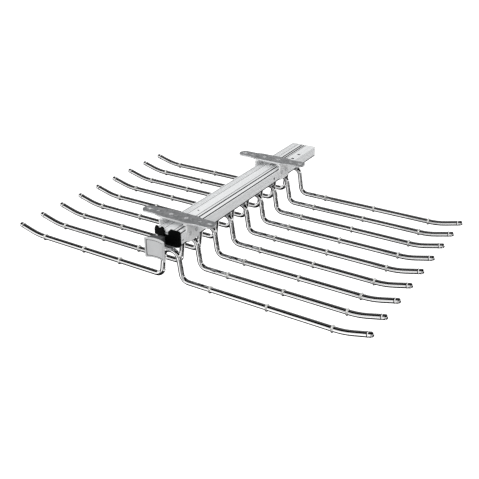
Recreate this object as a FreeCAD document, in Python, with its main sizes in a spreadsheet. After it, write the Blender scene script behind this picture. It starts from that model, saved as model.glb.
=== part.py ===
"""Pull-out trouser rack for the underside of a wardrobe shelf.

A fixed aluminium rail hangs from two bracket plates.  A carriage runs in it on two rows of
caged balls and carries the trouser bars, each one rod bent to an arch with an arm on either side.
Frame: +X to the right, +Y to the back of the wardrobe, +Z up; the origin is on the mounting plane,
in the middle of the bracket screws.  Lengths are in millimetres, angles in degrees.
"""
import FreeCAD
import Part
import math
import os
import Sketcher
from FreeCAD import Vector

# Driving dimensions
SIZES = {
    # Trouser bars
    "bar_count": 9,
    "bar_pitch": 45.0,
    "bar_diameter": 8.0,
    "bar_wall": 1.0,
    "bar_reach": 305.0,
    "arch_rise": 45.0,
    "arch_flat": 1.8,
    "arch_bend_radius": 12.5,
    "foot_bend_radius": 12.0,
    "leg_lean": 7.5,
    "tip_bend_gap": 0.5,
    "tip_bend_radius": 105.0,
    "tip_angle": 14.5,
    # Grip rings and tip caps
    "ring_width": 3.0,
    "right_ring_inner": 65.0,
    "right_ring_middle": 155.0,
    "left_ring_inner": 97.0,
    "left_ring_middle": 168.0,
    "outer_ring_inset": 55.0,
    "cap_length": 9.0,
    "cap_stem": 8.0,
    "cap_collar_width": 0.8,
    "cap_collar_height": 0.3,
    "cap_flat": 0.6,
    "push_fit": 0.05,
    # Brackets
    "bracket_spacing": 260.0,
    "first_bar_lead": 21.5,
    "plate_length": 121.5,
    "plate_width": 25.5,
    "plate_end_width": 20.0,
    "plate_wide_length": 48.0,
    "plate_taper": 10.0,
    "plate_end_radius": 9.0,
    "plate_thickness": 2.5,
    "slot_spacing": 103.0,
    "slot_length": 9.0,
    "slot_width": 5.0,
    "hole_spacing": 72.0,
    "hole_diameter": 4.5,
    "saddle_thickness": 2.0,
    "saddle_width": 29.0,
    "saddle_rise": 0.5,
    "saddle_bend_radius": 1.0,
    "saddle_corner_radius": 4.0,
    "saddle_relief": 4.5,
    "saddle_relief_margin": 4.0,
    "rivet_diameter": 4.0,
    "rivet_head_diameter": 6.4,
    "rivet_head_height": 1.3,
    "rivet_flare_diameter": 6.4,
    "rivet_flare_depth": 1.0,
    "rivet_flare_drop": 0.15,
    "rivet_bore_diameter": 2.6,
    "rivet_bore_depth": 1.8,
    "rivet_spacing": 26.0,
    "side_rivet_diameter": 3.2,
    "side_rivet_head_diameter": 6.0,
    "side_rivet_head_height": 1.2,
    "side_rivet_head_round": 0.9,
    "side_rivet_spacing": 15.0,
    "side_rivet_drop": 5.1,
    "side_rivet_setback": 0.3,
    # Fixed rail
    "rail_drop": 12.5,
    "rail_width": 44.0,
    "rail_height": 18.0,
    "rail_wall": 3.0,
    "rail_roof": 2.5,
    "rail_lip": 2.5,
    "rail_slot_width": 31.0,
    "rail_front_overhang": 3.5,
    "rail_rear_overhang": 36.5,
    "fine_groove_count": 4,
    "fine_groove_pitch": 3.2,
    "fine_groove_width": 1.7,
    "fine_groove_depth": 0.9,
    "fine_groove_edge": 1.5,
    "wide_groove_width": 2.7,
    "wide_groove_depth": 1.2,
    "wide_groove_edge": 1.4,
    "wide_groove_spacing": 8.5,
    "middle_groove_edge": 17.6,
    "rear_groove_edge": 18.85,
    "rear_groove_spacing": 4.3,
    "foot_rebate_height": 1.9,
    "foot_rebate_depth": 1.2,
    "assembly_hole_diameter": 3.2,
    "front_hole_x": -3.0,
    "front_hole_setback": 76.5,
    "rear_hole_diameter": 5.5,
    "rear_hole_x": 15.5,
    "rear_hole_spacing": 22.3,
    "rear_hole_inset": 47.0,
    "side_hole_diameter": 4.5,
    "side_hole_depth": 1.2,
    "side_hole_setback": 256.0,
    "side_hole_drop": 9.5,
    "rear_cap_thickness": 2.5,
    "rear_cap_plug": 3.0,
    "rear_play": 4.0,
    # Ball guide
    "ball_diameter": 5.0,
    "ball_clearance": 0.3,
    "ball_drop": 10.0,
    "track_depth": 1.0,
    "ball_count": 6,
    "ball_pitch": 18.0,
    "ball_pocket_clearance": 0.1,
    "cage_thickness": 1.2,
    "cage_height": 9.0,
    "cage_end": 7.0,
    "stop_diameter": 3.0,
    "stop_inset": 3.5,
    "stop_end_gap": 0.8,
    "stop_grip": 3.0,
    # Carriage and bar carrier
    "front_gap": 0.5,
    "head_play": 1.1,
    "neck_width": 25.0,
    "carriage_wall": 2.2,
    "carriage_hang": 5.7,
    "carrier_width": 16.0,
    "carrier_thickness": 4.0,
    "carrier_end": 8.0,
    "carrier_end_radius": 3.0,
    "seat_depth": 1.2,
    "carrier_screw_count": 4,
    "carrier_screw_diameter": 4.0,
    "carrier_screw_head_diameter": 7.0,
    "carrier_screw_head_height": 2.4,
    "carrier_screw_head_round": 1.0,
    "screw_drive_length": 4.4,
    "screw_drive_width": 1.0,
    "screw_drive_depth": 1.5,
    "carrier_screw_tail": 1.5,
    # Front end caps
    "cap_thickness": 2.5,
    "cap_edge_radius": 0.6,
    "cap_play": 0.1,
    "left_cap_width": 16.7,
    "left_cap_height": 8.5,
    "left_cap_bump": 4.6,
    "left_cap_dip": 1.9,
    "left_cap_notch": 2.0,
    "left_cap_slope": 2.0,
    "left_cap_pin_diameter": 2.8,
    "left_cap_pin_length": 8.0,
    "port_inset_x": 2.8,
    "port_drop": 2.6,
    "right_cap_gap": 4.0,
    "right_cap_width": 25.8,
    "right_cap_height": 25.3,
    "right_cap_rise": 4.2,
    "right_cap_chamfer": 4.0,
    "right_cap_shoulder": 1.8,
    "right_cap_step": 5.4,
    "right_cap_step_height": 10.2,
    "right_cap_plug": 10.0,
    # Pull handle
    "handle_width": 33.0,
    "handle_height": 29.5,
    "handle_under": 42.0,
    "handle_reach": 33.0,
    "handle_curve_radius": 34.0,
    "handle_plate_thickness": 2.4,
    "handle_rim": 2.4,
    "handle_line_width": 0.9,
    "handle_line_depth": 1.3,
    "handle_recess": 0.3,
    "handle_edge_radius": 0.7,
    "handle_body_left": 14.5,
    "handle_body_right": 5.5,
    "handle_body_depth": 16.5,
    "handle_body_radius": 5.0,
    "handle_body_margin": 1.5,
    "handle_neck_width": 9.0,
    "handle_neck_height": 12.0,
    "handle_neck_overlap": 2.0,
    "handle_plug_height": 6.7,
    "handle_plug_length": 22.0,
    "handle_screw_setback": 14.0,
    "handle_screw_grip": 5.0,
}

SHEET = "sizes"


class Size:
    """A driving or derived size: its value and the sheet expression that gives it."""

    def __init__(self, value, text):
        self.value = value
        self.text = text

    def __add__(self, other):
        other = as_size(other)
        return Size(self.value + other.value, f"({self.text} + {other.text})")

    def __sub__(self, other):
        other = as_size(other)
        return Size(self.value - other.value, f"({self.text} - {other.text})")

    def __mul__(self, other):
        other = as_size(other)
        return Size(self.value * other.value, f"({self.text} * {other.text})")

    def __truediv__(self, other):
        other = as_size(other)
        return Size(self.value / other.value, f"({self.text} / {other.text})")

    def __neg__(self):
        return Size(-self.value, f"(-{self.text})")


def as_size(amount):
    """Give a plain number the form of a size."""
    if isinstance(amount, Size):
        return amount
    return Size(float(amount), f"({float(amount)})")


def sine(angle):
    return Size(math.sin(math.radians(angle.value)), f"sin({angle.text} * 1 deg)")


def cosine(angle):
    return Size(math.cos(math.radians(angle.value)), f"cos({angle.text} * 1 deg)")


class Named:
    """Every driving dimension as an attribute, read from the sheet's cells."""

    def __init__(self, sheet, names):
        for name in names:
            setattr(self, name, Size(float(sheet.get(name)), f"{SHEET}.{name}"))


doc = FreeCAD.newDocument("trouser_rack")
sizes_sheet = doc.addObject("Spreadsheet::Sheet", SHEET)
for row, (alias, amount) in enumerate(SIZES.items(), 1):
    sizes_sheet.set(f"A{row}", alias)
    sizes_sheet.set(f"B{row}", str(amount))
    sizes_sheet.setAlias(f"B{row}", alias)
doc.recompute()
s = Named(sizes_sheet, SIZES)

ZERO = as_size(0)
RIGHT_ANGLE = 90
SIDES = ((-1, "left"), (1, "right"))
ENDS = ((-1, "front"), (1, "rear"))
BAR_COUNT = int(s.bar_count.value)
nodes = []
cuts = []

# Heights, from the mounting plane down
plate_under = -s.plate_thickness
saddle_under = plate_under - s.saddle_thickness
rail_top = -s.rail_drop
rail_under = rail_top - s.rail_height
cavity_top = rail_top - s.rail_roof
lip_top = rail_under + s.rail_lip
ball_z = rail_top - s.ball_drop
side_rivet_z = rail_top - s.side_rivet_drop
head_top = cavity_top - s.head_play
head_under = lip_top + s.head_play
carriage_under = rail_under - s.carriage_hang
hollow_top = head_top - s.carriage_wall
hollow_under = carriage_under + s.carriage_wall
carrier_under = carriage_under - s.carrier_thickness
bar_radius = s.bar_diameter / 2
arch_z = carrier_under + s.seat_depth - bar_radius - s.push_fit
arm_z = arch_z - s.arch_rise

# Widths, from the middle of the rail outwards
rail_half = s.rail_width / 2
rail_inside = rail_half - s.rail_wall
slot_half = s.rail_slot_width / 2
track_radius = s.ball_diameter / 2 + s.ball_clearance
ball_x = rail_inside - track_radius + s.track_depth
head_half = ball_x - track_radius + s.track_depth
neck_half = s.neck_width / 2
hollow_half = neck_half - s.carriage_wall
saddle_half = rail_half + s.saddle_thickness
port_x = head_half - s.port_inset_x
port_z = head_top - s.port_drop

# Depths, from the front to the back
bracket_half = s.bracket_spacing / 2
first_bar_y = -bracket_half - s.first_bar_lead
bar_row = (s.bar_count - 1) * s.bar_pitch
rail_front = first_bar_y - s.rail_front_overhang
rail_length = bar_row + s.rail_front_overhang + s.rail_rear_overhang
rail_rear = rail_front + rail_length
carriage_front = rail_front - s.front_gap
carriage_rear = rail_rear - s.rear_play
carriage_length = carriage_rear - carriage_front
rail_stop_y = rail_front + s.stop_inset
carriage_stop_y = carriage_rear - s.stop_inset
cage_length = (s.ball_count - 1) * s.ball_pitch + s.cage_end * 2
cage_y = (rail_stop_y + carriage_stop_y) / 2
carrier_front = first_bar_y - s.carrier_end
carrier_length = bar_row + s.carrier_end * 2
handle_screw_y = carriage_front + s.handle_screw_setback

# The outer rings, the bend beyond them and the bar's end, where its tip cap begins
outer_ring_x = s.bar_reach - s.outer_ring_inset
tip_bend_start = outer_ring_x + s.ring_width / 2 + s.tip_bend_gap
bar_end_x = s.bar_reach - s.cap_length * cosine(s.tip_angle)
tip_run = bar_end_x - tip_bend_start - s.tip_bend_radius * sine(s.tip_angle)
tip_bend_rise = s.tip_bend_radius * (as_size(1) - cosine(s.tip_angle))
bar_end_z = arm_z + tip_bend_rise + tip_run * sine(s.tip_angle) / cosine(s.tip_angle)


def bind(item, path, amount):
    """Tie a property of an object to the sheet."""
    item.setExpression(path, as_size(amount).text)


def new_body(label, groups=False):
    """Start a sub-part; one that groups several loose solids says so."""
    body = doc.addObject("PartDesign::Body", label)
    body.Label = label
    body.AllowCompound = groups
    return body


def keep(item, label, x=None, y=None, z=None):
    """Place a finished sub-part and list it as a node."""
    item.Label = label
    for axis, amount in (("x", x), ("y", y), ("z", z)):
        if amount is not None:
            bind(item, f"Placement.Base.{axis}", amount)
    nodes.append(item)
    return item


def origin_item(body, role):
    """Find a body's own origin plane or axis."""
    return next(item for item in body.Origin.OriginFeatures if item.Role == role)


def new_sketch(body, name, plane, offset=None):
    """Start a sketch on an origin plane, shifted along the plane's normal where asked."""
    sketch = body.newObject("Sketcher::SketchObject", name)
    sketch.AttachmentSupport = [(origin_item(body, plane), "")]
    sketch.MapMode = "FlatFace"
    if offset is not None:
        bind(sketch, "AttachmentOffset.Base.z", offset)
    return sketch


def limit(sketch, kind, place, amount):
    """Add a dimension to a sketch and tie it to the sheet."""
    value = math.radians(amount.value) if kind == "Angle" else amount.value
    index = sketch.addConstraint(Sketcher.Constraint(kind, *place, value))
    bind(sketch, f"Constraints[{index}]", amount)


def pin(sketch, geometry, point, x=None, y=None):
    """Fix a point of a sketch by its distances from the origin."""
    for kind, amount in (("DistanceX", x), ("DistanceY", y)):
        if amount is not None:
            limit(sketch, kind, (-1, 1, geometry, point), as_size(amount))


def outline(sketch, points):
    """Draw a closed outline of straight lines with every corner fixed."""
    points = [(as_size(x), as_size(y)) for x, y in points]
    corners = [Vector(x.value, y.value, 0) for x, y in points]
    count = len(points)
    first = sketch.GeometryCount
    sketch.addGeometry([Part.LineSegment(corners[i], corners[(i + 1) % count]) for i in range(count)])
    sketch.addConstraint([
        Sketcher.Constraint("Coincident", first + i, 2, first + (i + 1) % count, 1) for i in range(count)
    ])
    for i, (x, y) in enumerate(points):
        pin(sketch, first + i, 1, x, y)


def rectangle(sketch, left, right, low, high):
    outline(sketch, [(left, low), (right, low), (right, high), (left, high)])


def circle(sketch, x, y, diameter):
    """Draw a circle of a given diameter about a fixed centre."""
    x, y, radius = as_size(x), as_size(y), as_size(diameter) / 2
    index = sketch.addGeometry(Part.Circle(Vector(x.value, y.value, 0), Vector(0, 0, 1), radius.value))
    pin(sketch, index, 3, x, y)
    limit(sketch, "Radius", (index,), radius)


def arc(sketch, x, y, radius, start, end):
    """Draw an arc of a circle between two angles in radians and fix its radius."""
    ring = Part.Circle(Vector(x, y, 0), Vector(0, 0, 1), radius.value)
    index = sketch.addGeometry(Part.ArcOfCircle(ring, start, end))
    limit(sketch, "Radius", (index,), radius)
    return index


def line(sketch, start, end):
    return sketch.addGeometry(Part.LineSegment(Vector(*start, 0), Vector(*end, 0)))


def join(sketch, kind, first, first_end, second, second_end):
    sketch.addConstraint(Sketcher.Constraint(kind, first, first_end, second, second_end))


def slot(sketch, x, y, length, width):
    """Draw a slot along the sketch's first axis."""
    radius = width / 2
    reach = (length - width) / 2
    left, right, low, high = (x - reach), (x + reach), (y - radius), (y + radius)
    bottom = line(sketch, (left.value, low.value), (right.value, low.value))
    top = line(sketch, (right.value, high.value), (left.value, high.value))
    right_end = arc(sketch, right.value, y.value, radius, -math.pi / 2, math.pi / 2)
    left_end = arc(sketch, left.value, y.value, radius, math.pi / 2, math.pi * 1.5)
    pin(sketch, right_end, 3, right, y)
    pin(sketch, left_end, 3, left, y)
    join(sketch, "Tangent", bottom, 2, right_end, 1)
    join(sketch, "Tangent", right_end, 2, top, 1)
    join(sketch, "Tangent", top, 2, left_end, 1)
    sketch.addConstraint(Sketcher.Constraint("Coincident", left_end, 2, bottom, 1))


def pad(body, sketch, length, reverse=False, both_ways=False):
    """Extrude a sketch, along its plane's normal unless reversed."""
    feature = body.newObject("PartDesign::Pad", sketch.Name + "_pad")
    feature.Profile = sketch
    feature.Reversed = reverse
    feature.SideType = "Symmetric" if both_ways else "One side"
    bind(feature, "Length", length)
    return feature


def cut(body, sketch, length=None, reverse=False, both_ways=False):
    """Cut a sketch out of a body, right through where no length is given."""
    base = body.Tip
    feature = body.newObject("PartDesign::Pocket", sketch.Name + "_cut")
    feature.Profile = sketch
    feature.Reversed = reverse
    feature.SideType = "Symmetric" if both_ways else "One side"
    if length is None:
        feature.Type = "ThroughAll"
    else:
        bind(feature, "Length", length)
    cuts.append((base, feature))
    return feature


def repeat(body, features, axis, count, pitch):
    """Repeat features in a straight row along an origin axis of the body."""
    pattern = body.newObject("PartDesign::LinearPattern", features[-1].Name + "_row")
    pattern.Originals = features
    pattern.Direction = (origin_item(body, axis), [""])
    bind(pattern, "Length", (count - 1) * pitch)
    bind(pattern, "Occurrences", count)
    body.Tip = pattern
    return pattern


def mirror(body, features, plane="YZ_Plane"):
    """Mirror features across an origin plane of the body."""
    mirrored = body.newObject("PartDesign::Mirrored", features[-1].Name + "_mirrored")
    mirrored.Originals = features
    mirrored.MirrorPlane = (origin_item(body, plane), [""])
    body.Tip = mirrored
    return mirrored


def round_edges(body, radius, wanted):
    """Round the edges of the body's last feature that a test picks out by their two ends."""
    doc.recompute()
    base = body.Tip
    names = [
        f"Edge{number}" for number, edge in enumerate(base.Shape.Edges, 1)
        if len(edge.Vertexes) == 2 and wanted(edge.Vertexes[0].Point, edge.Vertexes[1].Point)
    ]
    feature = body.newObject("PartDesign::Fillet", base.Name + "_rounded")
    feature.Base = (base, names)
    bind(feature, "Radius", radius)
    return feature


def round_rims(body, radius, wanted):
    """Round the closed edges of the body's last feature that a test picks out by their centres."""
    doc.recompute()
    base = body.Tip
    names = [
        f"Edge{number}" for number, edge in enumerate(base.Shape.Edges, 1)
        if len(edge.Vertexes) == 1 and wanted(edge.CenterOfMass)
    ]
    feature = body.newObject("PartDesign::Fillet", base.Name + "_rims")
    feature.Base = (base, names)
    bind(feature, "Radius", radius)
    return feature


def near(first, second):
    """Tell whether two coordinates are the same for the purpose of picking an edge."""
    return abs(first - second) < 0.01


def group_y(count, pitch):
    """Give the places of a centred row."""
    return [(as_size(i) - (count - 1) / 2) * pitch for i in range(int(count.value))]


def make_fixed_rail():
    """The extruded rail: roof, two walls with ball tracks, and lips beside the bottom slot."""
    body = new_body("fixed_rail")
    profile = new_sketch(body, "rail_profile", "XZ_Plane")
    outline(profile, [
        (slot_half, rail_under), (rail_half, rail_under), (rail_half, rail_top), (-rail_half, rail_top),
        (-rail_half, rail_under), (-slot_half, rail_under), (-slot_half, lip_top), (-rail_inside, lip_top),
        (-rail_inside, cavity_top), (rail_inside, cavity_top), (rail_inside, lip_top), (slot_half, lip_top),
    ])
    pad(body, profile, rail_length, reverse=True)

    tracks = new_sketch(body, "rail_tracks", "XZ_Plane")
    for side, _ in SIDES:
        circle(tracks, ball_x * side, ball_z, track_radius * 2)
    cut(body, tracks)

    wide = new_sketch(body, "rail_wide_grooves", "XY_Plane", rail_top)
    bracket_setback = bracket_half - rail_front
    front_edge, rear_edge = rail_half - s.wide_groove_edge, rail_half - s.rear_groove_edge
    for right in (front_edge, front_edge - s.wide_groove_spacing):
        rectangle(wide, right - s.wide_groove_width, right, ZERO, bracket_setback)
    for right in (rear_edge, rear_edge - s.rear_groove_spacing):
        rectangle(wide, right - s.wide_groove_width, right, bracket_setback, rail_length)
    cut(body, wide, s.wide_groove_depth)

    middle = new_sketch(body, "rail_middle_groove", "XZ_Plane")
    draw_fine_groove(middle, rail_half - s.middle_groove_edge)
    cut(body, middle)
    fine = new_sketch(body, "rail_fine_groove", "XZ_Plane")
    draw_fine_groove(fine, s.fine_groove_edge - rail_half)
    fine_cut = cut(body, fine)
    repeat(body, [fine_cut], "X_Axis", s.fine_groove_count, s.fine_groove_pitch)

    rebates = new_sketch(body, "rail_foot_rebates", "XZ_Plane")
    rebate_top, rebate_floor = rail_under + s.foot_rebate_height, rail_half - s.foot_rebate_depth
    rectangle(rebates, rebate_floor, rail_half, rail_under, rebate_top)
    rectangle(rebates, -rail_half, -rebate_floor, rail_under, rebate_top)
    cut(body, rebates)

    roof_holes = new_sketch(body, "rail_roof_holes", "XY_Plane")
    circle(roof_holes, s.front_hole_x, s.front_hole_setback, s.assembly_hole_diameter)
    rear_hole = rail_length - s.rear_hole_inset
    for setback in (rear_hole, rear_hole - s.rear_hole_spacing):
        circle(roof_holes, s.rear_hole_x, setback, s.rear_hole_diameter)
    cut(body, roof_holes, -cavity_top)

    side_hole = new_sketch(body, "rail_side_hole", "YZ_Plane", rail_half)
    circle(side_hole, s.side_hole_setback, rail_top - s.side_hole_drop, s.side_hole_diameter)
    cut(body, side_hole, s.side_hole_depth)

    wall_holes = new_sketch(body, "rail_wall_holes", "YZ_Plane")
    for end, _ in ENDS:
        for place in side_rivet_places(end):
            circle(wall_holes, place - rail_front, side_rivet_z, s.side_rivet_diameter + s.push_fit * 2)
    circle(wall_holes, rail_stop_y - rail_front, ball_z, s.stop_diameter + s.push_fit * 2)
    cut(body, wall_holes, both_ways=True)
    return keep(body, "fixed_rail", y=rail_front)


def draw_fine_groove(sketch, left):
    """Draw a shallow V that opens at the rail's top."""
    outline(sketch, [
        (left, rail_top), (left + s.fine_groove_width / 2, rail_top - s.fine_groove_depth),
        (left + s.fine_groove_width, rail_top),
    ])


def side_rivet_places(end):
    """Depths of the two rivets through each leg of the front or rear saddle."""
    return [bracket_half * end + s.side_rivet_spacing / 2 * side for side, _ in SIDES]


def make_rear_end_cap():
    """The moulded cap that closes the rail's rear end and stops the carriage."""
    body = new_body("rear_end_cap")
    face = new_sketch(body, "rear_cap_face", "XZ_Plane")
    rectangle(face, -rail_half, rail_half, rail_under, rail_top)
    pad(body, face, s.rear_cap_thickness, reverse=True)
    plug = new_sketch(body, "rear_cap_plug_outline", "XZ_Plane")
    reach = rail_inside - s.cap_play
    rectangle(plug, -reach, reach, lip_top + s.cap_play, cavity_top - s.cap_play)
    pad(body, plug, s.rear_cap_plug)
    back = s.rear_cap_thickness.value
    round_edges(body, s.cap_edge_radius, lambda a, b: near(a.y, back) and near(b.y, back))
    return keep(body, "rear_end_cap", y=rail_rear)


def make_bracket_plate(end, name):
    """A flat mounting plate with a slot and a round hole towards each end, and seats for its rivets."""
    body = new_body(name + "_bracket_plate")
    half, wide, narrow = s.plate_length / 2, s.plate_width / 2, s.plate_end_width / 2
    shoulder = s.plate_wide_length / 2
    taper_end = shoulder + s.plate_taper
    lower = [(-half, -narrow), (-taper_end, -narrow), (-shoulder, -wide),
             (shoulder, -wide), (taper_end, -narrow), (half, -narrow)]
    upper = [(x, -y) for x, y in reversed(lower)]
    face = new_sketch(body, name + "_plate_face", "XY_Plane")
    outline(face, lower + upper)
    pad(body, face, s.plate_thickness, reverse=True)
    tip = half.value
    round_edges(body, s.plate_end_radius, lambda a, b: (
        near(abs(a.x), tip) and near(a.x, b.x) and near(a.y, b.y)))
    holes = new_sketch(body, name + "_plate_holes", "XY_Plane")
    for side, _ in SIDES:
        slot(holes, s.slot_spacing / 2 * side, ZERO, s.slot_length, s.slot_width)
        circle(holes, s.hole_spacing / 2 * side, ZERO, s.hole_diameter)
    flare_seats = new_sketch(body, name + "_plate_flare_seats", "XY_Plane")
    for x in rivet_places():
        circle(holes, x, ZERO, s.rivet_diameter + s.push_fit * 2)
        circle(flare_seats, x, ZERO, s.rivet_flare_diameter + s.push_fit * 2)
    cut(body, holes)
    cut(body, flare_seats, s.rivet_flare_depth)
    return keep(body, name + "_bracket_plate", y=bracket_half * end)


def rivet_places():
    """Places across the rail of the two rivets between a plate and its saddle."""
    return [s.rivet_spacing / 2 * side for side, _ in SIDES]


def make_saddle(end, name):
    """A folded steel saddle with a leg down each wall of the rail and its web cut back under the plate."""
    body = new_body(name + "_saddle")
    foot = rail_under + s.saddle_rise
    profile = new_sketch(body, name + "_saddle_profile", "XZ_Plane")
    outline(profile, [
        (-saddle_half, foot), (-rail_half, foot), (-rail_half, saddle_under), (rail_half, saddle_under),
        (rail_half, foot), (saddle_half, foot), (saddle_half, plate_under), (-saddle_half, plate_under),
    ])
    pad(body, profile, s.saddle_width, both_ways=True)
    inner, outer = rail_half.value, saddle_half.value
    web_low, web_high, low = saddle_under.value, plate_under.value, foot.value
    round_edges(body, s.saddle_bend_radius, lambda a, b: (
        near(a.z, web_low) and near(b.z, web_low) and near(abs(a.x), inner) and near(a.x, b.x)))
    round_edges(body, s.saddle_bend_radius + s.saddle_thickness, lambda a, b: (
        near(a.z, web_high) and near(b.z, web_high) and near(abs(a.x), outer) and near(a.x, b.x)))
    round_edges(body, s.saddle_corner_radius, lambda a, b: (
        near(a.z, low) and near(b.z, low) and near(a.y, b.y)))
    reliefs = new_sketch(body, name + "_saddle_reliefs", "XY_Plane")
    relief_half, edge = rail_half - s.saddle_relief_margin, s.saddle_width / 2
    rectangle(reliefs, -relief_half, relief_half, -edge, s.saddle_relief - edge)
    rectangle(reliefs, -relief_half, relief_half, edge - s.saddle_relief, edge)
    cut(body, reliefs)
    web_holes = new_sketch(body, name + "_saddle_web_holes", "XY_Plane")
    for x in rivet_places():
        circle(web_holes, x, ZERO, s.rivet_diameter + s.push_fit * 2)
    cut(body, web_holes)
    leg_holes = new_sketch(body, name + "_saddle_leg_holes", "YZ_Plane")
    for side, _ in SIDES:
        place = s.side_rivet_spacing / 2 * side
        circle(leg_holes, place, side_rivet_z, s.side_rivet_diameter + s.push_fit * 2)
    cut(body, leg_holes, both_ways=True)
    return keep(body, name + "_saddle", y=bracket_half * end)


def make_plate_rivets():
    """Hollow rivets that join each plate to its saddle, flared into the plate and headed below."""
    body = new_body("plate_rivets", groups=True)
    top = -s.rivet_flare_drop
    shanks = new_sketch(body, "plate_rivet_shanks", "XY_Plane", top)
    flares = new_sketch(body, "plate_rivet_flares", "XY_Plane", top)
    heads = new_sketch(body, "plate_rivet_heads", "XY_Plane", saddle_under)
    bores = new_sketch(body, "plate_rivet_bores", "XY_Plane", top)
    for end, _ in ENDS:
        for x in rivet_places():
            circle(shanks, x, bracket_half * end, s.rivet_diameter)
            circle(flares, x, bracket_half * end, s.rivet_flare_diameter)
            circle(heads, x, bracket_half * end, s.rivet_head_diameter)
            circle(bores, x, bracket_half * end, s.rivet_bore_diameter)
    pad(body, shanks, top - saddle_under, reverse=True)
    pad(body, flares, s.rivet_flare_depth - s.rivet_flare_drop, reverse=True)
    pad(body, heads, s.rivet_head_height, reverse=True)
    cut(body, bores, s.rivet_bore_depth)
    return keep(body, "plate_rivets")


def make_saddle_rivets():
    """Rivets through the saddle legs into the rail's walls."""
    body = new_body("saddle_rivets", groups=True)
    tail = rail_inside + s.side_rivet_setback
    shanks = new_sketch(body, "saddle_rivet_shanks", "YZ_Plane", tail)
    heads = new_sketch(body, "saddle_rivet_heads", "YZ_Plane", saddle_half)
    for end, _ in ENDS:
        for y in side_rivet_places(end):
            circle(shanks, y, side_rivet_z, s.side_rivet_diameter)
            circle(heads, y, side_rivet_z, s.side_rivet_head_diameter)
    shank_pad = pad(body, shanks, saddle_half - tail)
    head_pad = pad(body, heads, s.side_rivet_head_height)
    mirror(body, [shank_pad, head_pad])
    crown = (saddle_half + s.side_rivet_head_height).value
    round_rims(body, s.side_rivet_head_round, lambda centre: near(abs(centre.x), crown))
    return keep(body, "saddle_rivets")


def make_rail_stop_screws():
    """Two screws, flush with the rail's walls, that the ball cages meet at full extension."""
    body = new_body("rail_stop_screws", groups=True)
    end = head_half + s.stop_end_gap
    face = new_sketch(body, "rail_stop_outline", "YZ_Plane", end)
    circle(face, ZERO, ball_z, s.stop_diameter)
    mirror(body, [pad(body, face, rail_half - end)])
    return keep(body, "rail_stop_screws", y=rail_stop_y)


def make_ball_cage(side, name):
    """A flat strip with a row of pockets that keeps the balls apart."""
    body = new_body(name + "_ball_cage")
    face = new_sketch(body, name + "_cage_face", "YZ_Plane")
    half_height = s.cage_height / 2
    rectangle(face, -cage_length / 2, cage_length / 2, ball_z - half_height, ball_z + half_height)
    pad(body, face, s.cage_thickness, both_ways=True)
    pocket = new_sketch(body, name + "_cage_pocket", "YZ_Plane")
    first = -(s.ball_count - 1) / 2 * s.ball_pitch
    circle(pocket, first, ball_z, s.ball_diameter + s.ball_pocket_clearance * 2)
    repeat(body, [cut(body, pocket, both_ways=True)], "Y_Axis", s.ball_count, s.ball_pitch)
    return keep(body, name + "_ball_cage", x=ball_x * side, y=cage_y)


def make_balls(side, name):
    """The row of steel balls on one side."""
    balls = []
    for number, y in enumerate(group_y(s.ball_count, s.ball_pitch), 1):
        ball = doc.addObject("Part::Sphere", f"{name}_ball_{number}")
        bind(ball, "Radius", s.ball_diameter / 2)
        bind(ball, "Placement.Base.x", ball_x * side)
        bind(ball, "Placement.Base.y", cage_y + y)
        bind(ball, "Placement.Base.z", ball_z)
        balls.append(ball)
    row = doc.addObject("Part::Compound", name + "_balls")
    row.Links = balls
    return keep(row, name + "_balls")


def make_carriage():
    """The hollow extrusion that runs between the balls and passes down through the rail's slot."""
    body = new_body("carriage")
    profile = new_sketch(body, "carriage_profile", "XZ_Plane")
    outline(profile, [
        (-neck_half, carriage_under), (neck_half, carriage_under),
        (neck_half, head_under), (head_half, head_under),
        (head_half, head_top), (-head_half, head_top), (-head_half, head_under), (-neck_half, head_under),
    ])
    rectangle(profile, -hollow_half, hollow_half, hollow_under, hollow_top)
    pad(body, profile, carriage_length, reverse=True)

    tracks = new_sketch(body, "carriage_tracks", "XZ_Plane")
    for side, _ in SIDES:
        circle(tracks, ball_x * side, ball_z, track_radius * 2)
        circle(tracks, port_x * side, port_z, s.left_cap_pin_diameter + s.push_fit * 2)
    cut(body, tracks)

    stop_holes = new_sketch(body, "carriage_stop_holes", "YZ_Plane")
    circle(stop_holes, carriage_stop_y - carriage_front, ball_z, s.stop_diameter + s.push_fit * 2)
    cut(body, stop_holes, both_ways=True)

    floor_holes = new_sketch(body, "carriage_floor_holes", "XY_Plane", carriage_under)
    for y in carrier_screw_places() + [handle_screw_y]:
        circle(floor_holes, ZERO, y - carriage_front, s.carrier_screw_diameter + s.push_fit * 2)
    cut(body, floor_holes, s.carriage_wall, reverse=True)
    return keep(body, "carriage", y=carriage_front)


def carrier_screw_places():
    """Depths of the carrier screws, halfway between neighbouring bars."""
    count = int(s.carrier_screw_count.value)
    return [first_bar_y + s.bar_pitch * (2 * i + 0.5) for i in range(count)]


def make_carriage_stop_pins():
    """Two pins at the carriage's rear that the ball cages meet at full extension."""
    body = new_body("carriage_stop_pins", groups=True)
    start = head_half - s.stop_grip
    face = new_sketch(body, "carriage_stop_outline", "YZ_Plane", start)
    circle(face, ZERO, ball_z, s.stop_diameter)
    mirror(body, [pad(body, face, rail_inside - s.stop_end_gap - start)])
    return keep(body, "carriage_stop_pins", y=carriage_stop_y)


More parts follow.
